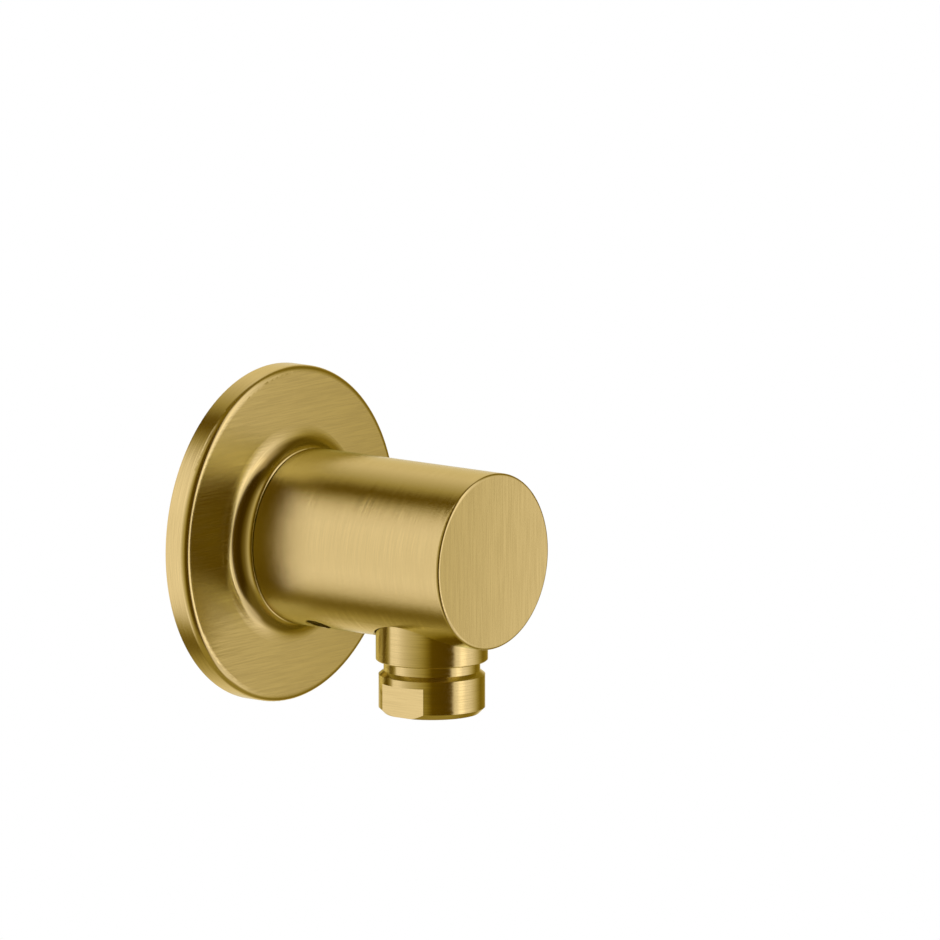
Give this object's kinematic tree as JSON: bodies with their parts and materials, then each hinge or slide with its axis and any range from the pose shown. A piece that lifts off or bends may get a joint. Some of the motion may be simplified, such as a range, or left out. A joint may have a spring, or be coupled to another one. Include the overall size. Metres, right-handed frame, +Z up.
{
  "type": "wall outlet elbow",
  "caption": "Round wall outlet elbow for a shower hose: pressed flange with a raised neck, cylindrical body, downward hose nipple with a non-return valve.",
  "frame": {"origin": "on the body's axis, at the finished wall that the flange's rim rests on", "axes": "+Y into the wall along the wall thread, -Y out along the body, -Z down along the outlet, +Z up"},
  "size_m": [0.0666, 0.0697, 0.0666],
  "materials": {
    "brushed_brass": "fine brushed, clear lacquered",
    "plain_brass": "as turned",
    "black_rubber": "moulded",
    "steel": "plain stainless",
    "white_plastic": "moulded",
    "grey_plastic": "moulded"
  },
  "bodies": {
    "elbow": {"wall_flange": "brushed_brass", "elbow_body": "brushed_brass", "flange_grip_ring": "black_rubber", "wall_nipple": "plain_brass", "nipple_o_ring_rear": "black_rubber", "nipple_o_ring_front": "black_rubber", "grub_screw": "steel", "hose_nipple": "brushed_brass", "hose_nipple_o_ring": "black_rubber", "valve_housing": "white_plastic", "valve_o_ring": "black_rubber", "valve_guide": "white_plastic", "valve_spring": "steel"},
    "poppet": {"valve_poppet": "grey_plastic", "valve_seal": "black_rubber"}
  },
  "joints": [
    {"name": "poppet_slide", "type": "slide", "parent": "elbow", "child": "poppet", "axis": [0, 0, -1], "range_m": [0, 0.003], "stiffness_N_per_m": 80, "springref_m": -0.0015, "deforming": ["valve_spring"]}
  ]
}
